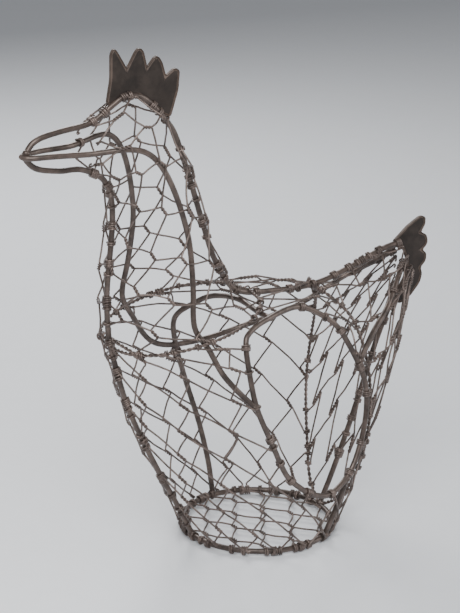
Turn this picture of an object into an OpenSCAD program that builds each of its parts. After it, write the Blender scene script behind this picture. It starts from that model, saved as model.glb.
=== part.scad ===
// Hen-shaped wire basket: a welded frame of bent wire, covered in hexagonal netting,
// with a sheet-metal comb and tail. The hen faces -X and stands on its base ring at z = 0.
// The left flank (-Y) has an opening that a hand reaches through.

/* [Overall] */
// Length from the tip of the beak to the edge of the tail plate
hen_length = 342; // [280:1:420]
// Height from the surface it stands on to the tips of the comb
hen_height = 384; // [320:1:460]
// Greatest width across the flanks, between wire centres
body_width = 136; // [100:1:170]
// Diameter of the base ring, between wire centres
base_diameter = 112; // [90:1:140]

/* [Wire] */
// Diameter of the bent frame wires
frame_wire = 4.2; // [3:0.1:5]
// Diameter of the netting wire
net_wire = 1.4; // [1:0.1:2]
// Gap between a frame wire and the netting that passes outside it
net_clearance = 0.3; // [0.1:0.1:1]
// Length of each wrap of netting wire round a frame wire
tie_length = 3.4; // [2:0.1:6]

/* [Plates] */
// Thickness of the sheet-metal comb and tail
sheet = 1.6; // [1:0.1:3]
// Depth that a plate laps past the centre of the wire it is welded to
plate_lap = 1; // [0:0.1:1.5]

/* [Hidden] */

LEFT = -1;
RIGHT = 1;
frame_r = frame_wire / 2;
net_r = net_wire / 2;
base_r = base_diameter / 2;
TIE_SIDES = 8;
tie_hole = frame_r + 0.05;
tie_out = (tie_hole + net_wire) / cos(180 / TIE_SIDES);
// The wraps go under the base ring, so the ring is lifted by their thickness.
base_z = tie_out;
net_offset = frame_r + net_r + net_clearance;
FRAME_SIDES = 8;
NET_SIDES = 4;
// A square wire of this radius has the same section as a round one.
net_side_r = net_r * sqrt(PI / 2);

// The points below are laid out on a hen 342 long, 384 tall and 136 wide.
kx = hen_length / 342;
kz = hen_height / 384;
kw = body_width / 136;
function place(p) = [p[0] * kx, p[1] * kw, p[2] * kz];

// ---- curves ----
function unit(v) = v / norm(v);
function mix(a, b, t) = a * (1 - t) + b * t;
function spline(a, b, c, d, t) = 0.5 * (2 * b + (c - a) * t + (2 * a - 5 * b + 4 * c - d) * t * t
    + (3 * b - a - 3 * c + d) * t * t * t);
function smooth(p, n = 3) = [
    for (i = [0:len(p) - 2], k = [0:n - 1])
        spline(p[max(i - 1, 0)], p[i], p[i + 1], p[min(i + 2, len(p) - 1)], k / n),
    p[len(p) - 1]];
function smooth_loop(p, n = 3) = let (m = len(p)) [
    for (i = [0:m - 1], k = [0:n - 1])
        spline(p[(i + m - 1) % m], p[i], p[(i + 1) % m], p[(i + 2) % m], k / n)];
function heading(p, i, loop) = let (n = len(p)) loop
    ? unit(p[(i + 1) % n] - p[(i + n - 1) % n])
    : unit(p[min(i + 1, n - 1)] - p[max(i - 1, 0)]);
function ring_points(c, t, r, n, ref) = let (a = unit(ref - (ref * t) * t), b = cross(t, a))
    [for (k = [0:n - 1]) c + r * (cos(360 * k / n) * a + sin(360 * k / n) * b)];
// Side faces between ring i and ring j, of n points each
function band(i, j, n) = [for (k = [0:n - 1]) let (l = (k + 1) % n)
    each [[i * n + k, j * n + l, i * n + l], [i * n + k, j * n + k, j * n + l]]];
function caps(i, j, n) = [for (k = [1:n - 2])
    each [[i * n, i * n + k, i * n + k + 1], [j * n, j * n + k + 1, j * n + k]]];

// A round wire swept along a path; ref is a direction the path never takes.
module wire(path, r, ref = [0, 1, 0], loop = false, n = FRAME_SIDES) {
    m = len(path);
    polyhedron(
        points = [for (i = [0:m - 1]) each ring_points(path[i], heading(path, i, loop), r, n, ref)],
        faces = [for (i = [0:m - 2]) each band(i, i + 1, n),
            each loop ? band(m - 1, 0, n) : caps(0, m - 1, n)]);
}

// ---- the hen's skin ----
// Each row is one ring round the hen, from the beak's root down to the base:
// front x and z, back x and z, half width.
skin = [
    [-150, 301, -143, 333, 12],
    [-133, 292, -116, 348, 20],
    [-126, 277, -93, 339, 25],
    [-125, 257, -73, 311, 29],
    [-127, 233, -61, 277, 34],
    [-129, 211, -51, 246, 38],
    [-129, 190, -40, 216, 42],
    [-127, 170, -22, 191, 47],
    [-122, 150, 45, 184, 55],
    [-113, 120, 75, 150, 64],
    [-100, 90, 85, 110, 68],
    [-84, 58, 82, 70, 66],
    [-68, 28, 70, 32, 61],
    [-56, 3, 56, 3, 56]];
LAST = len(skin) - 1;
function fitted(row) = [row[0] * kx, row[1] * kz, row[2] * kx, row[3] * kz, row[4] * kw];
rings = [for (i = [0:LAST]) i < LAST ? fitted(skin[i]) : [-base_r, base_z, base_r, base_z, base_r]];
function ring_at(u) = let (i = min(floor(u), LAST - 1))
    spline(rings[max(i - 1, 0)], rings[i], rings[i + 1], rings[min(i + 2, LAST)], u - i);
// u counts rings from the beak down, v is 0 at the breast wire and 180 at the spine.
fullness = 0.85;
function on_skin(u, v, side, out = 0) = let (
    r = ring_at(u),
    m = [r[0] + r[2], r[1] + r[3]] / 2,
    h = [r[0] - r[2], r[1] - r[3]] / 2 * cos(v))
    [m[0] + h[0], side * ((r[4]) * pow(max(sin(v), 0), fullness) + out * sin(v)), m[1] + h[1]];
function skin_path(list, side) = [for (q = list) on_skin(q[0], q[1], side)];

// ---- frame wires ----
beak_tip = place([-195, 0, 316]);
tail_top = place([122, 0, 204]);
tail_foot = place([119, 0, 165]);

// The wires of the beak meet 1 mm either side of its tip, whatever the hen's size
beak_end = place([-193, 0, 316]);
beak_weld = place([-195, 0, 316]);
spine_points = concat([beak_end + [0, 0, 1]], [for (p = [[-188, 0, 324], [-180, 0, 328], [-164, 0, 330.5],
    [-143, 0, 333], [-127, 0, 342], [-116, 0, 348], [-104, 0, 347], [-93, 0, 339], [-80, 0, 324],
    [-73, 0, 311], [-61, 0, 277], [-51, 0, 246], [-40, 0, 216], [-22, 0, 191], [10, 0, 185],
    [45, 0, 184], [75, 0, 191], [105, 0, 201], [122, 0, 204]]) place(p)]);
breast_points = concat([beak_end - [0, 0, 1]], [for (p = [[-188, 0, 309], [-180, 0, 305], [-164, 0, 302],
    [-150, 0, 301], [-133, 0, 292], [-126, 0, 277], [-125, 0, 257], [-127, 0, 233],
    [-129, 0, 211], [-129, 0, 190], [-127, 0, 170], [-122, 0, 150], [-113, 0, 120],
    [-100, 0, 90], [-84, 0, 58], [-68, 0, 28]]) place(p)]);
rump_points = [for (p = [[119, 0, 165], [104, 0, 130], [91, 0, 92], [78, 0, 56], [66, 0, 26]])
    place(p)];

// The opening, as ring number and angle on the left skin
opening_uv = [[7.45, 123], [7.7, 140], [8.3, 136], [8.8, 137], [9.6, 140], [10.2, 140],
    [10.85, 135], [11.4, 126], [11.65, 110], [11.5, 96], [11.2, 86], [10.8, 79], [10, 75],
    [9.2, 74], [8.5, 78], [7.8, 89], [7.5, 104]];
opening_path = smooth_loop(skin_path(opening_uv, LEFT));
cheek_uv = [[1.5, 90], [2.7, 100], [4.2, 105], [5.5, 97], [6.6, 86], [7.5, 75]];
left_side_points = concat(
    [beak_weld - [0, 1, 0]], [for (p = [[-190, -5, 316], [-176, -8, 316], [-150, -12, 315]]) place(p)],
    skin_path(concat(cheek_uv, [[8.3, 67], [8.8, 70], [9.2, 74]]), LEFT));
right_side_points = concat(
    [beak_weld + [0, 1, 0]], [for (p = [[-190, 5, 316], [-176, 8, 316], [-150, 12, 315]]) place(p)],
    skin_path([[1.5, 90], [2.7, 96], [4.2, 98], [5.5, 88], [6.6, 76], [7.7, 65], [8.6, 66],
        [9, 76], [9.2, 94], [9.15, 115]], RIGHT),
    [for (p = [[56, 40, 152], [86, 26, 173], [110, 13, 189], [122, 5, 196]]) place(p)]);
left_tail_points = concat(skin_path([[9.3, 139]], LEFT),
    [for (p = [[74, -37, 152], [94, -26, 165], [110, -14, 178], [122, -5, 190]]) place(p)]);
left_leg_points = skin_path([[11.45, 124], [12, 122], [12.5, 120], [13, 119]], LEFT);
saddle_points = concat(skin_path([[7.5, 124]], LEFT),
    [for (p = [[-21, -28, 183], [-21, 0, 184], [-25, 28, 178], [-32, 44, 168]]) place(p)],
    skin_path([[8.4, 84], [9, 80], [10, 80], [11, 82], [12, 84], [13, 85]], RIGHT));

module steel() { color([0.36, 0.32, 0.30]) children(); }
module base_ring() {
    steel() translate([0, 0, base_z]) rotate_extrude($fn = 96) translate([base_r, 0])
        circle(r = frame_r, $fn = 24);
}
// The breast and rump wires run on to the base ring's own front and back.
module spine_wire() { steel() wire(smooth(spine_points), frame_r); }
module breast_wire() {
    steel() wire(smooth(concat(breast_points, [[-base_r, 0, base_z]]), 2), frame_r);
}
rump_path = smooth(concat(rump_points, [[base_r, 0, base_z]]));
module rump_wire() { steel() wire(rump_path, frame_r); }
module left_side_wire() { steel() wire(smooth(left_side_points), frame_r, [0, 0.6, 1]); }
module right_side_wire() { steel() wire(smooth(right_side_points), frame_r, [0, -0.6, 1]); }
module opening_ring() { steel() wire(opening_path, frame_r, loop = true); }
module saddle_hoop() { steel() wire(smooth(saddle_points), frame_r, [1, 0, 0]); }
module left_tail_wire() { steel() wire(smooth(left_tail_points), frame_r); }
module left_leg() { steel() wire(smooth(left_leg_points), frame_r); }

// ---- plates ----
// Both plates stand on the hen's centre plane; outlines are x, z.
comb_teeth = [[-130, 345], [-127, 362], [-127, 380], [-124, 384], [-121, 380], [-114, 368],
    [-107, 380], [-104, 382], [-101, 379], [-98, 367], [-92, 374], [-89, 374], [-86, 369],
    [-83, 359], [-76, 364], [-72, 362], [-73, 348], [-79, 329]];
comb_seat = [[-84, 330], [-93, 339], [-104, 347], [-116, 348], [-127, 342]];
tail_lobes = [[116, 206], [128, 216], [139, 222], [144, 221], [144, 215], [140, 209], [145, 207],
    [147, 202], [146, 198], [142, 195], [146, 192], [146, 186], [141, 181], [143, 176],
    [141, 169], [133, 160], [123, 155], [119, 158]];
tail_seat = [[121, 166], [127, 176], [129, 187], [125, 198], [121, 204]];
module plate(outline) {
    translate([0, sheet / 2, 0]) rotate([90, 0, 0]) linear_extrude(sheet)
        polygon([for (p = outline) [p[0] * kx, p[1] * kz]]);
}
module comb() {
    lift = frame_r - plate_lap;
    color([0.24, 0.20, 0.18]) plate(concat(comb_teeth, [for (p = comb_seat) p + [0, lift]]));
}
module tail_plate() { color([0.27, 0.22, 0.20]) plate(concat(tail_lobes, tail_seat)); }

// ---- netting ----
// A net is a lattice laid on a surface, in angle v and ring u. Each cell has one twisted
// edge and two plain ones: [corner step a, corner step b, twist].
neck_net = [[33, 0.62], [-21, 0.86], [5, 0.3]];
flank_net = [[18, 0.74], [-7, 0.66], [3.6, 0.17]];
tail_net = [[0.27, 0.055], [-0.1, 0.125], [0.09, 0.01]];
NECK_TOP = 0;
SHOULDER = 7.2;
STUB = 3;

function in_loop(p, loop) = let (n = len(loop)) len([for (i = [0:n - 1])
    let (a = loop[i], b = loop[(i + 1) % n])
    if ((a[0] > p[1]) != (b[0] > p[1])
        && p[0] < (b[1] - a[1]) * (p[1] - a[0]) / (b[0] - a[0]) + a[1]) 1]) % 2 == 1;
function seam_angle(t) = 180 - 34 * pow(max(sin(180 * t), 0), 0.7);
SEAM_TOP = 8;
function seam_at(u) = u <= SEAM_TOP ? 180 : seam_angle((u - SEAM_TOP) / (LAST - SEAM_TOP));

NECK = 0;
FLANK = 1;
TAIL = 2;
opening_loop = smooth_loop(opening_uv);
function in_net(p, kind, side) = kind == NECK
    ? p[0] > 0 && p[0] < 180 && p[1] > NECK_TOP && p[1] < SHOULDER
    : kind == FLANK
    ? p[0] > 0 && p[1] > SHOULDER && p[1] < LAST && p[0] < seam_at(p[1])
        && !(side == LEFT && in_loop(p, opening_loop))
    : p[0] > 0 && p[0] < 1 && p[1] > 0 && p[1] < 1;
function tail_end(t, side) = mix(tail_top, tail_foot, t) + [6 * sin(180 * t) * kx, side * 12 * sin(180 * t) * kw, 0];
function on_net(p, kind, side) = kind == TAIL
    ? let (t = p[1], s = p[0], u = mix(SEAM_TOP, LAST, t))
        mix(on_skin(u, seam_angle(t), side, net_offset), tail_end(t, side), s)
        + [0, side * 7 * kw * sin(180 * t) * sin(180 * s), 0]
    : on_skin(p[1], p[0], side, net_offset);
// The point between a, inside the net, and b, outside it, where the wire meets the edge
function edge_point(a, b, kind, side, n = 9) = n == 0 ? a : let (m = (a + b) / 2)
    in_net(m, kind, side) ? edge_point(m, b, kind, side, n - 1) : edge_point(a, m, kind, side, n - 1);
function clipped(a, b, kind, side) = let (ia = in_net(a, kind, side), ib = in_net(b, kind, side))
    ia && ib ? [a, b] : ia ? [a, edge_point(a, b, kind, side)]
    : ib ? [edge_point(b, a, kind, side), b] : [];
function net_runs(net, kind, side, start, across, down) = [
    for (i = [-across:across], j = [-down:down])
        let (p = start + i * net[0] + j * net[1], q = p + net[2])
        for (e = [[p, q, 1.5], [q, p + net[0], 1], [q, p + net[1], 1]])
            let (c = clipped(e[0], e[1], kind, side))
            if (len(c) == 2)
                let (a = on_net(c[0], kind, side), b = on_net(c[1], kind, side))
                if (norm(b - a) > STUB) [a, b, e[2]]];
// The edge wire along a seam, as straight runs between points
function edge_runs(p) = [for (i = [0:len(p) - 2]) [p[i], p[i + 1], 1]];
module net_wires(runs) {
    n = NET_SIDES;
    polyhedron(
        points = [for (w = runs) let (t = unit(w[1] - w[0]), ref = abs(t[1]) < 0.8 ? [0, 1, 0] : [1, 0, 0])
            each concat(ring_points(w[0], t, net_side_r * w[2], n, ref),
                ring_points(w[1], t, net_side_r * w[2], n, ref))],
        faces = [for (i = [0:len(runs) - 1]) each concat(band(2 * i, 2 * i + 1, n), caps(2 * i, 2 * i + 1, n))]);
}
module netting(runs) { color([0.45, 0.41, 0.38]) net_wires(runs); }

shoulder_steps = 10;
function shoulder_edge(side) = [for (k = [0:shoulder_steps])
    on_skin(SHOULDER, 180 * k / shoulder_steps, side, net_offset)];
seam_steps = 9;
function rear_edge(side) = [for (k = [0:seam_steps])
    on_net([0, k / seam_steps], TAIL, side)];

module left_neck_netting() { netting(net_runs(neck_net, NECK, LEFT, [20, -0.5], 14, 14)); }
module right_neck_netting() { netting(net_runs(neck_net, NECK, RIGHT, [8, -0.8], 14, 14)); }
module left_flank_netting() {
    netting(concat(net_runs(flank_net, FLANK, LEFT, [10, 6.6], 16, 16), edge_runs(shoulder_edge(LEFT))));
}
module right_flank_netting() {
    netting(concat(net_runs(flank_net, FLANK, RIGHT, [2, 6.4], 16, 16), edge_runs(shoulder_edge(RIGHT))));
}
module left_tail_netting() {
    netting(concat(net_runs(tail_net, TAIL, LEFT, [0.03, 0.02], 9, 9), edge_runs(rear_edge(LEFT))));
}
module right_tail_netting() {
    netting(concat(net_runs(tail_net, TAIL, RIGHT, [-0.04, 0.05], 9, 9), edge_runs(rear_edge(RIGHT))));
}

// The base netting lies flat inside the base ring.
base_net = [[25, 0], [12.5, 20], [0, 8]];
base_reach = base_r - frame_r * 0.5;
function base_in(p) = norm(p) < base_reach;
function base_edge(a, b, n = 9) = n == 0 ? a : let (m = (a + b) / 2)
    base_in(m) ? base_edge(m, b, n - 1) : base_edge(a, m, n - 1);
function base_clip(a, b) = base_in(a) && base_in(b) ? [a, b] : base_in(a) ? [a, base_edge(a, b)]
    : base_in(b) ? [base_edge(b, a), b] : [];
base_runs = [for (i = [-7:7], j = [-4:4])
    let (p = [4, -6] + i * base_net[0] + j * base_net[1], q = p + base_net[2])
    for (e = [[p, q, 1.5], [q, p + base_net[1], 1], [q, p + base_net[1] - base_net[0], 1]])
        let (c = base_clip(e[0], e[1]))
        if (len(c) == 2 && norm(c[1] - c[0]) > STUB)
            [[c[0][0], c[0][1], base_z], [c[1][0], c[1][1], base_z], e[2]]];
module base_netting() { netting(base_runs); }

// ---- ties ----
// A tie is a wrap of netting wire round a frame wire: a sleeve at a point, along a heading.
function sleeve_points(c, t, ref) = let (h = tie_length / 2 * t)
    concat(ring_points(c - h, t, tie_out, TIE_SIDES, ref), ring_points(c + h, t, tie_out, TIE_SIDES, ref),
        ring_points(c + h, t, tie_hole, TIE_SIDES, ref), ring_points(c - h, t, tie_hole, TIE_SIDES, ref));
module ties(path, at, ref = [0, 1, 0], loop = false) {
    color([0.50, 0.46, 0.43]) polyhedron(
        points = [for (i = at) each sleeve_points(path[i], heading(path, i, loop), ref)],
        faces = [for (s = [0:len(at) - 1], j = [0:3]) each band(4 * s + j, 4 * s + (j + 1) % 4, TIE_SIDES)]);
}
module comb_ties() { ties(smooth(spine_points), [12, 14, 18, 24]); }
module spine_ties() { ties(smooth(spine_points), [33, 36, 39, 42, 44, 46, 48, 50, 52, 54]); }
module breast_ties() {
    ties(smooth(concat(breast_points, [[-base_r, 0, base_z]]), 2), [9, 12, 16, 19, 22, 24, 26, 28, 30]);
}
module ring_ties() { ties(opening_path, [3, 8, 11, 14, 18, 21, 24, 28, 32, 36, 45], loop = true); }
module tail_ties() { ties(rump_path, [2, 4, 6, 8, 10]); }
module base_ties() {
    steps = 36;
    circle_path = [for (k = [0:steps - 1]) [base_r * cos(360 * k / steps), base_r * sin(360 * k / steps), base_z]];
    ties(circle_path, [1, 4, 7, 11, 14, 17, 20, 23, 27, 30, 33], [0, 0, 1], true);
}

base_ring();
spine_wire();
breast_wire();
rump_wire();
left_side_wire();
right_side_wire();
opening_ring();
saddle_hoop();
left_tail_wire();
left_leg();
comb();
tail_plate();
left_neck_netting();
right_neck_netting();
left_flank_netting();
right_flank_netting();
left_tail_netting();
right_tail_netting();
base_netting();
comb_ties();
spine_ties();
breast_ties();
ring_ties();
tail_ties();
base_ties();
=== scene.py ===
import math

import bpy
import numpy as np
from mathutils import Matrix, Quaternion, Vector


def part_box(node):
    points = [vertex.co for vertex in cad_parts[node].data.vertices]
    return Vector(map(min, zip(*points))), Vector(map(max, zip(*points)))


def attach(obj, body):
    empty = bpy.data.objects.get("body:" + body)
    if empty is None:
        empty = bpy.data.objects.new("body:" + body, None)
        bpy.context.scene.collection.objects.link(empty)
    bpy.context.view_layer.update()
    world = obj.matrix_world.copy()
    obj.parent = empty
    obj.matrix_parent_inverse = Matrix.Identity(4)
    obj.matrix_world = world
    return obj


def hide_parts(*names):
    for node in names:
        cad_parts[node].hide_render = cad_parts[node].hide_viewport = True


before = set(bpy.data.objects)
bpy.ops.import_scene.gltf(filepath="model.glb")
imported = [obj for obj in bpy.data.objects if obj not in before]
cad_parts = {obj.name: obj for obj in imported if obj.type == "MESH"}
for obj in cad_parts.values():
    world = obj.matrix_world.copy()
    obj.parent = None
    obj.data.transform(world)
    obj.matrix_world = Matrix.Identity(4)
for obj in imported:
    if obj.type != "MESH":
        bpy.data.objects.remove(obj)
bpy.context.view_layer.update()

bl_info = {
    "name": "Wire Hen Basket",
    "version": (1, 0, 0),
    "blender": (4, 5, 0),
    "location": "3D View > Sidebar > Hen Basket",
    "description": "Bends, nets and ties a hen-shaped wire basket around its loaded frame",
    "category": "Object",
}

BODY = "root"
MM = 0.001
TURN = 2 * math.pi

SAME_SPOT = 0.05 * MM      # bar ends nearer than this are one knot of the netting
HOLD_REACH = 9 * MM        # how far a cut end looks for a wire to wrap round
WRAP_LEAD = 4 * MM         # how far before its end a wire starts to wrap
HOOK_R = 1.3 * MM          # radius of the hook on a cut end that nothing holds
END_INSET = 0.25 * MM      # an open frame wire is drawn this much short at each end
TIE_REACH = 3 * MM         # how far from a tie's middle its wire arrives
MERGE_GAP = 0.01 * MM      # corners of a plate nearer than this are one
RIM_BEVEL = 0.3 * MM       # bevel along the rims of comb and tail
BEAD_GAP = 3 * MM          # wire ends nearer than this share one bead of weld
BEAD_INSET = 2 * MM        # how far along its wire a bead sits
FLAT_FACE = 0.95           # a plate face whose normal has less y than this is on the rim

FLOOR_SIZE = 60
LIGHTS_AIM = (0, 0, 0.18)
LOOK_AT = (-0.027, 0, 0.179)
STUDIO_COLOUR = (0.78, 0.8, 0.84, 1)
STUDIO_STRENGTH = 0.28
SENSOR = 36

FRAME_WIRES = ("spine_wire", "breast_wire", "rump_wire", "left_side_wire", "right_side_wire",
               "opening_ring", "saddle_hoop", "left_tail_wire", "left_leg")
NETTINGS = ("left_neck_netting", "right_neck_netting", "left_flank_netting", "right_flank_netting",
            "left_tail_netting", "right_tail_netting", "base_netting")
TIES = ("comb_ties", "spine_ties", "breast_ties", "ring_ties", "tail_ties", "base_ties")
PLATES = ("comb", "tail_plate")


# ---- reading the frame ----
def merged(node):
    """The node's corners without repeats, and its triangles as rows of three corner numbers."""
    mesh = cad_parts[node].data
    spots = np.array([v.co for v in mesh.vertices]).reshape(-1, 3)
    corners, where = np.unique(np.round(spots, 7), axis=0, return_inverse=True)
    where = where.reshape(-1)
    mesh.calc_loop_triangles()
    faces = np.array([[where[i] for i in t.vertices] for t in mesh.loop_triangles])
    return corners, faces


def edges_of(faces):
    pairs = np.vstack([faces[:, [0, 1]], faces[:, [1, 2]], faces[:, [2, 0]]])
    return np.unique(np.sort(pairs, axis=1), axis=0)


def groups(count, pairs):
    """Number the sets of corners that the pairs join."""
    parent = list(range(count))

    def root(i):
        while parent[i] != i:
            parent[i] = parent[parent[i]]
            i = parent[i]
        return i

    for a, b in pairs:
        parent[root(a)] = root(b)
    roots = [root(i) for i in range(count)]
    names = {r: k for k, r in enumerate(sorted(set(roots)))}
    return np.array([names[r] for r in roots])


def wire_path(node):
    """The centre line of a swept wire, and whether it closes on itself.
    The rings of a swept wire are joined by its commonest short edge, so they can be told apart."""
    corners, faces = merged(node)
    pairs = edges_of(faces)
    lengths = np.linalg.norm(corners[pairs[:, 0]] - corners[pairs[:, 1]], axis=1)
    nearest = np.full(len(corners), 1.0)
    for (a, b), size in zip(pairs, lengths):
        nearest[a] = min(nearest[a], size)
        nearest[b] = min(nearest[b], size)
    side = np.median(nearest)
    in_ring = np.abs(lengths - side) < 0.01 * side
    ring = groups(len(corners), pairs[in_ring])
    centres = np.array([corners[ring == k].mean(axis=0) for k in range(ring.max() + 1)])
    links = {k: set() for k in range(len(centres))}
    for a, b in pairs[~in_ring]:
        if ring[a] != ring[b]:
            links[ring[a]].add(ring[b])
            links[ring[b]].add(ring[a])
    ends = [k for k, near in links.items() if len(near) == 1]
    walk = [ends[0] if ends else 0]
    seen = set(walk)
    while True:
        ahead = [k for k in sorted(links[walk[-1]]) if k not in seen]
        if not ahead:
            break
        walk.append(ahead[0])
        seen.add(ahead[0])
    return centres[walk], not ends


def islands(node):
    """The corners of each separate solid in a node.
    Solids that meet can share corners, so two faces belong together only where they
    are the only two on an edge."""
    corners, faces = merged(node)
    beside = {}
    for n, (a, b, c) in enumerate(faces):
        for p, q in ((a, b), (b, c), (c, a)):
            beside.setdefault((min(p, q), max(p, q)), []).append(n)
    label = groups(len(faces), [pair for pair in beside.values() if len(pair) == 2])
    return [corners[np.unique(faces[label == k])] for k in range(label.max() + 1)]


def bar_ends(corners):
    """Both ends of a square bar, and its half diagonal: its end faces are its smallest squares."""
    if len(corners) != 8:
        raise RuntimeError(f"a netting bar has {len(corners)} corners instead of 8")
    best = None
    for i in range(1, 8):
        for j in range(i + 1, 8):
            for k in range(j + 1, 8):
                rest = [m for m in range(8) if m not in (0, i, j, k)]
                one, two = corners[[0, i, j, k]], corners[rest]
                a, b = one.mean(axis=0), two.mean(axis=0)
                spread = np.concatenate([np.linalg.norm(one - a, axis=1),
                                         np.linalg.norm(two - b, axis=1)])
                if best is None or spread.max() < best[2]:
                    best = (a, b, spread.max())
    return best


def base_ring_path(steps=96):
    low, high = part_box("base_ring")
    wire = (high.z - low.z) / 2
    radius = (high.x - low.x) / 2 - wire
    return np.array([[radius * math.cos(TURN * k / steps), radius * math.sin(TURN * k / steps),
                      low.z + wire] for k in range(steps)])


FRAME_R = (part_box("base_ring")[1].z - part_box("base_ring")[0].z) / 2
PATHS = {node: wire_path(node) for node in FRAME_WIRES}
PATHS["base_ring"] = (base_ring_path(), True)
BARS = {node: [bar_ends(c) for c in islands(node)] for node in NETTINGS}
PLAIN_BAR = min(bar[2] for bars in BARS.values() for bar in bars)
# A round wire of this radius has the same area of section as a plain square bar.
NET_R = PLAIN_BAR / math.sqrt(math.pi / 2)
TWIST_FROM = PLAIN_BAR * 1.25    # a bar with a larger half diagonal than this is a twist
WRAP_PITCH = 2.15 * NET_R        # step along the held wire in one turn of a wrap
BEAD_R = FRAME_R * 1.4


# ---- curves ----
def unit(v):
    return v / max(np.linalg.norm(v), 1e-12)


def smooth(points, steps, loop=False):
    """A Catmull-Rom curve through the points."""
    p = np.asarray(points)
    n = len(p)
    spans = range(n if loop else n - 1)
    out = []
    for i in spans:
        if loop:
            a, b, c, d = p[i - 1], p[i], p[(i + 1) % n], p[(i + 2) % n]
        else:
            a, b, c, d = p[max(i - 1, 0)], p[i], p[i + 1], p[min(i + 2, n - 1)]
        for k in range(steps):
            t = k / steps
            out.append(0.5 * (2 * b + (c - a) * t + (2 * a - 5 * b + 4 * c - d) * t * t
                              + (3 * b - a - 3 * c + d) * t ** 3))
    if not loop:
        out.append(p[-1])
    return np.array(out)


def deselect():
    if bpy.context.object and bpy.context.object.mode != "OBJECT":
        bpy.ops.object.mode_set(mode="OBJECT")
    bpy.ops.object.select_all(action="DESELECT")


def swept(name, lines, radius, roundness=2):
    """One mesh of round wires; each line is its points and whether it closes."""
    deselect()
    bpy.ops.curve.primitive_nurbs_path_add()
    obj = bpy.context.object
    obj.name = name
    curve = obj.data
    curve.splines.clear()
    curve.dimensions = "3D"
    curve.twist_mode = "MINIMUM"
    curve.bevel_depth = radius
    curve.bevel_resolution = roundness
    curve.use_fill_caps = True
    curve.resolution_u = 1
    for points, loop in lines:
        spline = curve.splines.new("POLY")
        spline.points.add(len(points) - 1)
        spline.points.foreach_set("co", np.hstack([points, np.ones((len(points), 1))]).ravel())
        spline.use_cyclic_u = loop
    bpy.ops.object.convert(target="MESH")
    bpy.ops.object.shade_smooth()
    obj = bpy.context.object
    obj.name = name
    obj.data.name = name
    return obj


def finish_piece(obj, material, slot, *nodes):
    obj.data.materials.clear()
    obj.data.materials.append(material)
    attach(obj, BODY)
    if nodes:
        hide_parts(*nodes)
    return obj


# ---- netting ----
def carriers():
    """What a free netting end can be wrapped round: each path, whether it closes, its radius."""
    found = [(path, loop, FRAME_R) for path, loop in PATHS.values()]
    for node in NETTINGS:
        found += [(line, False, 2 * NET_R) for line in edge_wires(node)]
    return found


def key(point):
    """A place as whole numbers, so that bars which meet there can be looked up."""
    return tuple(np.round(point / SAME_SPOT).astype(int))


def sorted_bars(node):
    """The bars as twisted and plain, and which bars meet at each end."""
    twisted, plain = [], []
    for a, b, size in BARS[node]:
        (twisted if size > TWIST_FROM else plain).append((a, b))
    at = {}
    for kind, bars in ((0, twisted), (1, plain)):
        for n, (a, b) in enumerate(bars):
            at.setdefault(key(a), []).append((kind, n, 0))
            at.setdefault(key(b), []).append((kind, n, 1))
    return twisted, plain, at


def edge_wires(node):
    """The chains of plain bars that meet no twist: the doubled wire along a net's cut edge."""
    twisted, plain, at = sorted_bars(node)
    loose = {}
    for n, (a, b) in enumerate(plain):
        meets = at[key(a)] + at[key(b)]
        if all(kind == 1 for kind, _, _ in meets) and len(meets) > 2:
            loose[n] = (a, b)
    lines = []
    while loose:
        n = min(loose)
        a, b = loose.pop(n)
        line = [a, b]
        grown = True
        while grown:
            grown = False
            for m, (c, d) in sorted(loose.items()):
                for p, q in ((c, d), (d, c)):
                    if np.allclose(line[-1], p, atol=SAME_SPOT):
                        line.append(q)
                    elif np.allclose(line[0], p, atol=SAME_SPOT):
                        line.insert(0, q)
                    else:
                        continue
                    del loose[m]
                    grown = True
                    break
                if grown:
                    break
        lines.append(smooth(np.array(line), 4))
    return lines


def jitter(point, size):
    """A small offset that depends only on the place, so two runs that share it agree."""
    s = point / MM
    return size * np.array([math.sin(12.9 * s[0] + 4.1 * s[2]), math.sin(7.7 * s[1] + 9.3 * s[2]),
                            math.sin(5.3 * s[2] + 3.7 * s[0])])


def wrap(carrier, arriving, turns):
    """Points of a wrap round a carrier, for a wire that arrives from a point beside it."""
    path, loop, radius = carrier
    gaps = np.linalg.norm(path - arriving, axis=1)
    i = int(np.argmin(gaps))
    n = len(path)
    after = (i + 1) % n if loop else min(i + 1, n - 1)
    behind = i - 1 if loop else max(i - 1, 0)
    along = unit(path[after] - path[behind])
    out = arriving - path[i]
    centre = path[i] + along * np.dot(out, along)
    across = unit(out - along * np.dot(out, along))
    third = np.cross(along, across)
    reach = radius + NET_R * 1.05
    steps = max(6, int(turns * 12))
    points = []
    for k in range(steps + 1):
        t = turns * k / steps
        angle = TURN / 4 + TURN * t
        points.append(centre + along * WRAP_PITCH * (t - turns / 2)
                      + reach * (math.cos(angle) * across + math.sin(angle) * third))
    return points


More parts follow.
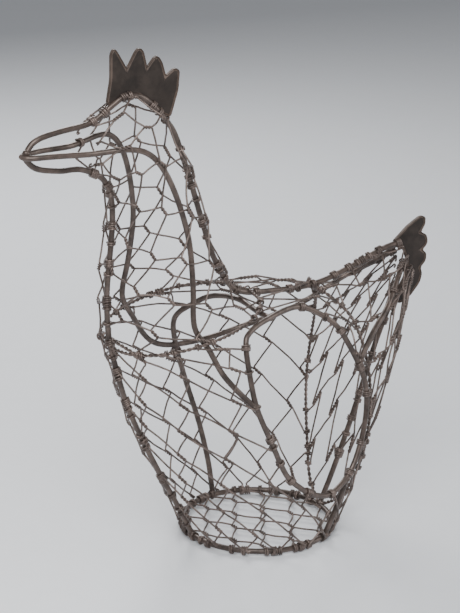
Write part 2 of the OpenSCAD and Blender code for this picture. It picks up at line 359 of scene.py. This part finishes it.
def twist_lines(a, b, near_a, near_b, turns_per):
    """The two wires wound round each other from a to b, and on to the wires that they become."""
    axis = unit(b - a)
    length = np.linalg.norm(b - a)
    if near_a:
        lead = unit(near_a[0][0] - a)
    elif near_b:
        lead = unit(near_b[0][0] - b)
    else:
        lead = np.array([0.31, 0.87, 0.39])
    side = lead - axis * np.dot(lead, axis)
    side = unit(side if np.linalg.norm(side) > 1e-6 else np.cross(axis, [0.3, 0.5, 0.8]))
    third = np.cross(axis, side)
    turns = max(0, round(length / turns_per - 0.5)) + 0.5

    def pick(near, corner, want):
        ranked = sorted(near, key=lambda q: -want * np.dot(unit(q[0] - corner), side))
        if not ranked:
            return None
        if len(ranked) == 1:
            return ranked[0] if want * np.dot(ranked[0][0] - corner, side) > 0 else None
        return ranked[0]

    lines = []
    for sign in (1, -1):
        start, stop = pick(near_a, a, sign), pick(near_b, b, -sign)
        points = []
        if start is not None:
            points += run_points(start, a + side * sign * NET_R)
        steps = max(4, int(turns * 8))
        for k in range(steps + 1):
            t = k / steps
            angle = TURN * turns * t
            points.append(a + axis * length * t
                          + NET_R * sign * (math.cos(angle) * side + math.sin(angle) * third))
        if stop is not None:
            points += run_points(stop, b - side * sign * NET_R)[::-1]
        lines.append(points)
    return lines


def run_points(target, corner):
    """From the middle of a plain stretch, or from its wrapped end, to the corner of a twist."""
    middle, along, tail = target
    reach = np.linalg.norm(corner - middle)
    near = middle + along * reach * 0.25
    return list(tail) + [middle, near, near * 0.45 + corner * 0.55]


def netting_lines(node, held, settings):
    twisted, plain, at = sorted_bars(node)
    edges = edge_wires(node)
    lines = []
    for a, b in twisted:
        ends = []
        for corner in (a, b):
            near = []
            for kind, m, _ in at[key(corner)]:
                if kind == 0:
                    continue
                p, q = plain[m]
                far = q if key(p) == key(corner) else p
                linked = any(other == 0 for other, _, _ in at[key(far)])
                middle = (corner + far) / 2
                if linked:
                    middle = middle + jitter(middle, settings.slack * MM)
                    tail = []
                else:
                    middle = corner * 0.12 + far * 0.88
                    tail = end_wrap(far, corner, held, settings.wrap_turns)[::-1]
                near.append((middle, unit(corner - far), tail))
            ends.append(near)
        lines += twist_lines(a, b, ends[0], ends[1], settings.twist_pitch * MM)
    lines = [(smooth(points, 2), False) for points in lines if len(points) > 2]
    for line in edges:
        lines += [(pair, False) for pair in doubled(line, settings.twist_pitch * MM)]
    for a, b in plain:
        free = all(kind == 1 for kind, _, _ in at[key(a)] + at[key(b)])
        alone = len(at[key(a)]) + len(at[key(b)]) == 2
        if free and alone:
            lines.append((smooth(np.array(end_wrap(a, b, held, settings.wrap_turns)[::-1]
                                          + [a * 0.8 + b * 0.2, (a + b) / 2, a * 0.2 + b * 0.8]
                                          + end_wrap(b, a, held, settings.wrap_turns)), 2), False))
    return lines


def end_wrap(end, before, held, turns):
    """The wrap that a wire makes at its end, if something is near enough to hold it."""
    best = min(held, key=lambda c: np.linalg.norm(c[0] - end, axis=1).min())
    gap = np.linalg.norm(best[0] - end, axis=1).min()
    if gap > HOLD_REACH:
        return bent_over(end, before)
    span = turns + 0.35 * math.sin(3.1 * end[0] / MM + 1.7 * end[2] / MM)
    toward = end + unit(before - end) * WRAP_LEAD
    return wrap(best, toward, span)


def bent_over(end, before):
    """A cut end that nothing holds, bent back on itself in a small hook."""
    ahead = unit(end - before)
    inward = np.array([0.0, -end[1], 0.0]) if abs(end[1]) > MM else np.array([0.0, 0.0, -1.0])
    inward = unit(inward - ahead * np.dot(inward, ahead))
    centre = end - ahead * HOOK_R + inward * HOOK_R
    return [centre + HOOK_R * (math.sin(t) * ahead - math.cos(t) * inward)
            for t in (0.2, 0.9, 1.6, 2.3, 3.0, 3.6)]


def doubled(line, pitch):
    """Two wires wound loosely round a line."""
    gaps = np.linalg.norm(np.diff(line, axis=0), axis=1)
    total = gaps.sum()
    count = max(8, int(total / (pitch / 8)))
    stations = np.concatenate([[0], np.cumsum(gaps)])
    wanted = np.linspace(0, total, count)
    path = np.array([np.interp(wanted, stations, line[:, k]) for k in range(3)]).T
    heading = np.gradient(path, axis=0)
    out = [[], []]
    for p, h, s in zip(path, heading, wanted):
        h = unit(h)
        side = unit(np.cross(h, [0.21, 0.13, 0.97]))
        third = np.cross(h, side)
        angle = TURN * s / (pitch * 1.6)
        reach = NET_R * 1.02 * (math.cos(angle) * side + math.sin(angle) * third)
        out[0].append(p + reach)
        out[1].append(p - reach)
    return [np.array(o) for o in out]


# ---- finishes ----
def nodes_of(name):
    material = bpy.data.materials.new(name)
    material.use_nodes = True
    tree = material.node_tree
    tree.nodes.clear()
    out = tree.nodes.new("ShaderNodeOutputMaterial")
    shader = tree.nodes.new("ShaderNodeBsdfPrincipled")
    tree.links.new(shader.outputs["BSDF"], out.inputs["Surface"])
    place = tree.nodes.new("ShaderNodeTexCoord")
    return material, tree, shader, place.outputs["Object"]


def noise(tree, place, scale, detail=4.0, rough=0.55):
    node = tree.nodes.new("ShaderNodeTexNoise")
    node.inputs["Scale"].default_value = scale
    node.inputs["Detail"].default_value = detail
    node.inputs["Roughness"].default_value = rough
    tree.links.new(place, node.inputs["Vector"])
    return node.outputs["Fac"]


def ramp(tree, source, *stops):
    node = tree.nodes.new("ShaderNodeValToRGB")
    ramp_points = node.color_ramp.elements
    while len(ramp_points) < len(stops):
        ramp_points.new(0.5)
    for point, (at, colour) in zip(ramp_points, stops):
        point.position = at
        point.color = (*colour, 1)
    tree.links.new(source, node.inputs["Fac"])
    return node.outputs["Color"]


def remap(tree, source, low, high, to_low, to_high):
    node = tree.nodes.new("ShaderNodeMapRange")
    for name, value in (("From Min", low), ("From Max", high),
                        ("To Min", to_low), ("To Max", to_high)):
        node.inputs[name].default_value = value
    tree.links.new(source, node.inputs["Value"])
    return node.outputs["Result"]


def blend(tree, share, first, second):
    node = tree.nodes.new("ShaderNodeMix")
    node.data_type = "RGBA"
    tree.links.new(share, node.inputs[0])
    tree.links.new(first, node.inputs[6])
    tree.links.new(second, node.inputs[7])
    return node.outputs[2]


def bump(tree, shader, *layers):
    """Each layer is its height source, strength and depth."""
    normal = None
    for height, strength, depth in layers:
        node = tree.nodes.new("ShaderNodeBump")
        node.inputs["Strength"].default_value = strength
        node.inputs["Distance"].default_value = depth
        tree.links.new(height, node.inputs["Height"])
        if normal is not None:
            tree.links.new(normal, node.inputs["Normal"])
        normal = node.outputs["Normal"]
    tree.links.new(normal, shader.inputs["Normal"])


def antiqued_metal(name, colour, lighter, darker, roughness, metallic, gloss, grain):
    """Painted steel: mottled, paler where it is rubbed, with fine pits, and a painted highlight of
    paler colour along the rims.
    """
    material, tree, shader, place = nodes_of(name)
    colour, lighter, darker = tuple(colour), tuple(lighter), tuple(darker)
    mottle = noise(tree, place, 95 * grain, 5.0, 0.6)
    rubbed = noise(tree, place, 38 * grain, 3.0, 0.5)
    speck = noise(tree, place, 900 * grain, 2.0, 0.6)
    body = ramp(tree, mottle, (0.32, darker), (0.5, colour), (0.7, lighter))
    worn = ramp(tree, rubbed, (0.45, colour), (0.68, lighter))
    share = remap(tree, rubbed, 0.5, 0.7, 0.0, 0.6)
    paint = blend(tree, share, body, worn)
    edge = tree.nodes.new("ShaderNodeAttribute")
    edge.attribute_name = "rim"
    # painted highlight: faces marked as rim get a paler colour, 2.5 to 6 times the paint, standing
    # in for light caught on the rims
    rim_highlight = ramp(tree, mottle, (0.3, [c * 2.5 for c in colour]), (0.7, [c * 6 for c in colour]))
    tree.links.new(blend(tree, edge.outputs["Fac"], paint, rim_highlight), shader.inputs["Base Color"])
    tree.links.new(remap(tree, mottle, 0.3, 0.7, roughness + 0.1, roughness - 0.08),
                   shader.inputs["Roughness"])
    shader.inputs["Metallic"].default_value = metallic
    shader.inputs["Specular IOR Level"].default_value = gloss
    bump(tree, shader, (mottle, 0.35, 0.0004), (speck, 0.25, 0.00012))
    return material


# ---- settings ----
class HenWireSettings(bpy.types.PropertyGroup):
    frame_steps: bpy.props.IntProperty(
        name="Frame smoothness", description="Steps between the frame's own rings along each wire",
        default=3, min=1, max=6)
    twist_pitch: bpy.props.FloatProperty(
        name="Twist pitch",
        description="Length in which two netting wires wind once round each other, in mm",
        default=5.0, min=3.0, max=9.0)
    wrap_turns: bpy.props.FloatProperty(
        name="Wrap turns",
        description="Turns that a netting end makes round the wire that holds it",
        default=1.6, min=0.8, max=3.0)
    tie_turns: bpy.props.FloatProperty(
        name="Tie turns", description="Turns of netting wire in each tie",
        default=2.6, min=1.0, max=5.0)
    slack: bpy.props.FloatProperty(
        name="Slack", description="How far the middle of a netting wire wanders, in mm",
        default=0.6, min=0.0, max=2.0)
    tooth_round: bpy.props.FloatProperty(
        name="Tooth rounding", description="Radius on the corners of comb and tail",
        default=0.0022, min=0.0005, max=0.004, subtype="DISTANCE", unit="LENGTH")


class HenFinishSettings(bpy.types.PropertyGroup):
    frame_colour: bpy.props.FloatVectorProperty(
        name="Frame paint", description="Warm grey-brown of the frame wires",
        default=(0.09, 0.068, 0.058), size=3, min=0.0, max=1.0, subtype="COLOR")
    net_colour: bpy.props.FloatVectorProperty(
        name="Netting paint", description="Grey-brown of the netting wire",
        default=(0.12, 0.092, 0.08), size=3, min=0.0, max=1.0, subtype="COLOR")
    plate_colour: bpy.props.FloatVectorProperty(
        name="Plate paint", description="Dark brown of comb and tail",
        default=(0.022, 0.016, 0.013), size=3, min=0.0, max=1.0, subtype="COLOR")
    rubbing: bpy.props.FloatProperty(
        name="Rubbing", description="How much paler the rubbed places are than the paint",
        default=1.75, min=1.0, max=3.0, subtype="FACTOR")


class HenStageSettings(bpy.types.PropertyGroup):
    floor_colour: bpy.props.FloatVectorProperty(
        name="Floor", description="Colour of the plain floor",
        default=(0.8, 0.82, 0.85), size=3, min=0.0, max=1.0, subtype="COLOR")
    key_power: bpy.props.FloatProperty(
        name="Key light", description="Power of the large soft light",
        default=18.0, min=1.0, max=200.0, unit="POWER")
    azimuth: bpy.props.FloatProperty(
        name="Camera azimuth",
        description="Turn of the camera round the basket, in degrees from its left flank",
        default=-32.0, min=-180.0, max=180.0)
    elevation: bpy.props.FloatProperty(
        name="Camera elevation", description="Angle that the camera looks down at, in degrees",
        default=20.0, min=-10.0, max=80.0)
    distance: bpy.props.FloatProperty(
        name="Camera distance", description="From the camera to the point that it looks at",
        default=2.0, min=0.3, max=5.0, subtype="DISTANCE", unit="LENGTH")
    lens: bpy.props.FloatProperty(
        name="Lens", description="Focal length in mm on a 36 mm sensor",
        default=216.0, min=20.0, max=300.0)
    roll: bpy.props.FloatProperty(
        name="Camera roll", description="Tilt of the camera about its own axis, in degrees",
        default=1.0, min=-10.0, max=10.0)


def finishes():
    chosen = bpy.context.scene.hen_finish
    made = bpy.data.materials
    if "frame_paint" not in made:
        rub = chosen.rubbing
        for name, colour, rough, metal, gloss, grain in (
                ("frame_paint", chosen.frame_colour, 0.33, 0.45, 0.5, 1.0),
                ("net_paint", chosen.net_colour, 0.34, 0.45, 0.5, 1.6),
                ("plate_paint", chosen.plate_colour, 0.6, 0.0, 0.3, 0.8)):
            antiqued_metal(name, colour, [min(1.0, c * rub) for c in colour],
                           [c * 0.5 for c in colour], rough, metal, gloss, grain)
    return made


# ---- pieces ----
class HEN_OT_frame_wires(bpy.types.Operator):
    """Bend every frame wire along its own centre line"""
    bl_idname = "hen.frame_wires"
    bl_label = "Bend frame wires"

    def execute(self, context):
        steps = context.scene.hen_wire.frame_steps
        for node in (*FRAME_WIRES, "base_ring"):
            path, loop = PATHS[node]
            line = smooth(path, steps if node != "base_ring" else 1, loop)
            if not loop:
                line[0] += unit(line[1] - line[0]) * END_INSET
                line[-1] += unit(line[-2] - line[-1]) * END_INSET
            obj = swept(node.replace("_wire", "") + "_bent", [(line, loop)], FRAME_R, 4)
            finish_piece(obj, finishes()["frame_paint"], "frame_steel", node)
        return {"FINISHED"}


class HEN_OT_netting(bpy.types.Operator):
    """Twist the netting, panel by panel, and wrap its ends round what holds them"""
    bl_idname = "hen.netting"
    bl_label = "Twist netting"

    def execute(self, context):
        held = carriers()
        for node in NETTINGS:
            lines = netting_lines(node, held, context.scene.hen_wire)
            obj = swept(node.replace("_netting", "_mesh"), lines, NET_R, 2)
            finish_piece(obj, finishes()["net_paint"], "net_steel", node)
        return {"FINISHED"}


class HEN_OT_ties(bpy.types.Operator):
    """Wind each tie round its frame wire"""
    bl_idname = "hen.ties"
    bl_label = "Wind ties"

    def execute(self, context):
        turns = context.scene.hen_wire.tie_turns
        held = [(path, loop, FRAME_R) for path, loop in PATHS.values()]
        for node in TIES:
            lines = []
            for n, corners in enumerate(islands(node)):
                centre = corners.mean(axis=0)
                best = min(held, key=lambda c: np.linalg.norm(c[0] - centre, axis=1).min())
                tilt = 2.4 * n
                beside = centre + np.array([math.cos(tilt), 0.4, math.sin(tilt)]) * TIE_REACH
                wound = wrap(best, beside, turns + 0.4 * math.sin(5 * n))
                lines.append((smooth(wound, 2), False))
            obj = swept(node + "_wound", lines, NET_R, 2)
            finish_piece(obj, finishes()["net_paint"], "net_steel", node)
        return {"FINISHED"}


class HEN_OT_plates(bpy.types.Operator):
    """Cut comb and tail from sheet, with rounded points and softened rims"""
    bl_idname = "hen.plates"
    bl_label = "Cut comb and tail"

    def execute(self, context):
        for node in PLATES:
            deselect()
            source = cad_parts[node]
            bpy.ops.mesh.primitive_cube_add()
            obj = context.object
            obj.name = node + "_sheet"
            obj.data = source.data.copy()
            obj.data.name = obj.name
            bpy.ops.object.mode_set(mode="EDIT")
            bpy.ops.mesh.select_all(action="SELECT")
            bpy.ops.mesh.remove_doubles(threshold=MERGE_GAP)
            bpy.ops.mesh.dissolve_limited(angle_limit=math.radians(1))
            bpy.ops.mesh.select_all(action="DESELECT")
            bpy.ops.object.mode_set(mode="OBJECT")
            choose_edges(obj, lambda d: abs(d.y) > 0.9)
            bpy.ops.object.mode_set(mode="EDIT")
            rounding = context.scene.hen_wire.tooth_round
            bpy.ops.mesh.bevel(offset=rounding, segments=5, affect="EDGES")
            bpy.ops.object.mode_set(mode="OBJECT")
            choose_edges(obj, lambda d: abs(d.y) < 0.1)
            bpy.ops.object.mode_set(mode="EDIT")
            bpy.ops.mesh.bevel(offset=RIM_BEVEL, segments=2, affect="EDGES")
            bpy.ops.mesh.select_all(action="SELECT")
            bpy.ops.mesh.normals_make_consistent(inside=False)
            bpy.ops.object.mode_set(mode="OBJECT")
            bpy.ops.object.shade_smooth_by_angle(angle=math.radians(35))
            # mark the rim faces, which get the painted highlight of the plate paint
            rim = obj.data.attributes.new("rim", "FLOAT", "FACE")
            for face, value in zip(obj.data.polygons, rim.data):
                value.value = 1.0 if abs(face.normal.y) < FLAT_FACE else 0.0
            finish_piece(obj, finishes()["plate_paint"], "plate_steel", node)
        return {"FINISHED"}


def choose_edges(obj, wanted):
    """Select the edges whose direction is wanted."""
    spots = obj.data.vertices
    for edge in obj.data.edges:
        a, b = edge.vertices
        edge.select = wanted((spots[b].co - spots[a].co).normalized())
    for v in spots:
        v.select = False
    for face in obj.data.polygons:
        face.select = False
    for edge in obj.data.edges:
        if edge.select:
            for v in edge.vertices:
                spots[v].select = True


class HEN_OT_welds(bpy.types.Operator):
    """Leave a small bead of weld at the end of each open frame wire"""
    bl_idname = "hen.welds"
    bl_label = "Weld joints"

    def execute(self, context):
        ends = []
        for node in FRAME_WIRES:
            path, loop = PATHS[node]
            if not loop:
                ends += [(path[0], unit(path[1] - path[0])), (path[-1], unit(path[-2] - path[-1]))]
        beads = []
        for spot, inward in ends:
            if all(np.linalg.norm(spot - other) > BEAD_GAP for other, _ in beads):
                beads.append((spot, inward))
        made = []
        for n, (spot, inward) in enumerate(beads):
            deselect()
            bpy.ops.mesh.primitive_ico_sphere_add(subdivisions=4, radius=BEAD_R,
                                                  location=tuple(spot + inward * BEAD_INSET))
            bead = context.object
            for v in bead.data.vertices:
                s = v.co / BEAD_R
                swell = (0.1 * math.sin(3.1 * s.x + n) * math.sin(2.7 * s.y + 2 * n)
                         * math.sin(3.5 * s.z))
                v.co *= 1 + swell - 0.12 * abs(s.z)
            made.append(bead)
        deselect()
        for bead in made:
            bead.select_set(True)
        context.view_layer.objects.active = made[0]
        bpy.ops.object.join()
        bpy.ops.object.transform_apply(location=True, rotation=True, scale=True)
        bpy.ops.object.shade_smooth()
        obj = context.object
        obj.name = "weld_beads"
        finish_piece(obj, finishes()["frame_paint"], "frame_steel")
        return {"FINISHED"}


# ---- stage ----
class HEN_OT_stage(bpy.types.Operator):
    """Lay the plain floor, hang the soft lights and set the camera"""
    bl_idname = "hen.stage"
    bl_label = "Set stage"

    def execute(self, context):
        chosen = context.scene.hen_stage
        self.floor(chosen)
        self.light("key", (-0.55, -0.75, 1.0), 0.9, chosen.key_power)
        self.light("fill", (0.9, -0.6, 0.6), 0.8, chosen.key_power * 0.3)
        self.light("rim", (0.2, 0.95, 0.8), 0.6, chosen.key_power * 0.6)
        world = bpy.data.worlds.new("studio")
        world.use_nodes = True
        sky = world.node_tree.nodes["Background"]
        sky.inputs["Color"].default_value = STUDIO_COLOUR
        sky.inputs["Strength"].default_value = STUDIO_STRENGTH
        context.scene.world = world
        self.camera(context, chosen)
        return {"FINISHED"}

    def floor(self, chosen):
        deselect()
        bpy.ops.mesh.primitive_plane_add(size=FLOOR_SIZE)
        floor = bpy.context.object
        floor.name = "floor"
        material, tree, shader, place = nodes_of("floor_paint")
        paper = noise(tree, place, 60, 3.0)
        pale = tuple(chosen.floor_colour)
        colour = ramp(tree, paper, (0.3, [c * 0.985 for c in pale]), (0.7, pale))
        tree.links.new(colour, shader.inputs["Base Color"])
        shader.inputs["Roughness"].default_value = 0.45
        floor.data.materials.append(material)

    def light(self, name, place, size, power):
        data = bpy.data.lights.new(name, "AREA")
        data.shape = "SQUARE"
        data.size = size
        data.energy = power
        lamp = bpy.data.objects.new(name, data)
        bpy.context.scene.collection.objects.link(lamp)
        lamp.location = place
        aim = Vector(LIGHTS_AIM) - Vector(place)
        lamp.rotation_euler = aim.to_track_quat("-Z", "Y").to_euler()

    def camera(self, context, chosen):
        data = bpy.data.cameras.new("camera")
        data.lens = chosen.lens
        data.sensor_width = SENSOR
        data.sensor_fit = "HORIZONTAL"
        camera = bpy.data.objects.new("camera", data)
        context.scene.collection.objects.link(camera)
        turn, lift = math.radians(chosen.azimuth), math.radians(chosen.elevation)
        centre = Vector(LOOK_AT)
        toward = Vector((math.sin(turn) * math.cos(lift), -math.cos(turn) * math.cos(lift),
                         math.sin(lift)))
        camera.location = centre + toward * chosen.distance
        roll = Quaternion((0, 0, 1), math.radians(chosen.roll))
        camera.rotation_euler = ((-toward).to_track_quat("-Z", "Y") @ roll).to_euler()
        data.clip_start = 0.01
        context.scene.camera = camera


class HEN_PT_basket(bpy.types.Panel):
    """Lists the steps that make the basket"""
    bl_idname = "HEN_PT_basket"
    bl_label = "Wire Hen Basket"
    bl_space_type = "VIEW_3D"
    bl_region_type = "UI"
    bl_category = "Hen Basket"

    def draw(self, context):
        for group in (context.scene.hen_wire, context.scene.hen_finish, context.scene.hen_stage):
            for name in group.bl_rna.properties.keys():
                if name not in ("rna_type", "name"):
                    self.layout.prop(group, name)
        for step in STEPS:
            self.layout.operator(step.bl_idname)


STEPS = (HEN_OT_stage, HEN_OT_frame_wires, HEN_OT_netting, HEN_OT_ties, HEN_OT_plates,
         HEN_OT_welds)
SETTINGS = (("hen_wire", HenWireSettings), ("hen_finish", HenFinishSettings),
            ("hen_stage", HenStageSettings))


def register():
    for name, group in SETTINGS:
        bpy.utils.register_class(group)
        setattr(bpy.types.Scene, name, bpy.props.PointerProperty(type=group))
    for step in (*STEPS, HEN_PT_basket):
        bpy.utils.register_class(step)


def unregister():
    for step in (HEN_PT_basket, *reversed(STEPS)):
        bpy.utils.unregister_class(step)
    for name, group in reversed(SETTINGS):
        delattr(bpy.types.Scene, name)
        bpy.utils.unregister_class(group)


def main():
    register()
    bpy.ops.hen.stage()
    bpy.ops.hen.frame_wires()
    bpy.ops.hen.netting()
    bpy.ops.hen.ties()
    bpy.ops.hen.plates()
    bpy.ops.hen.welds()


if __name__ == "__main__":
    main()
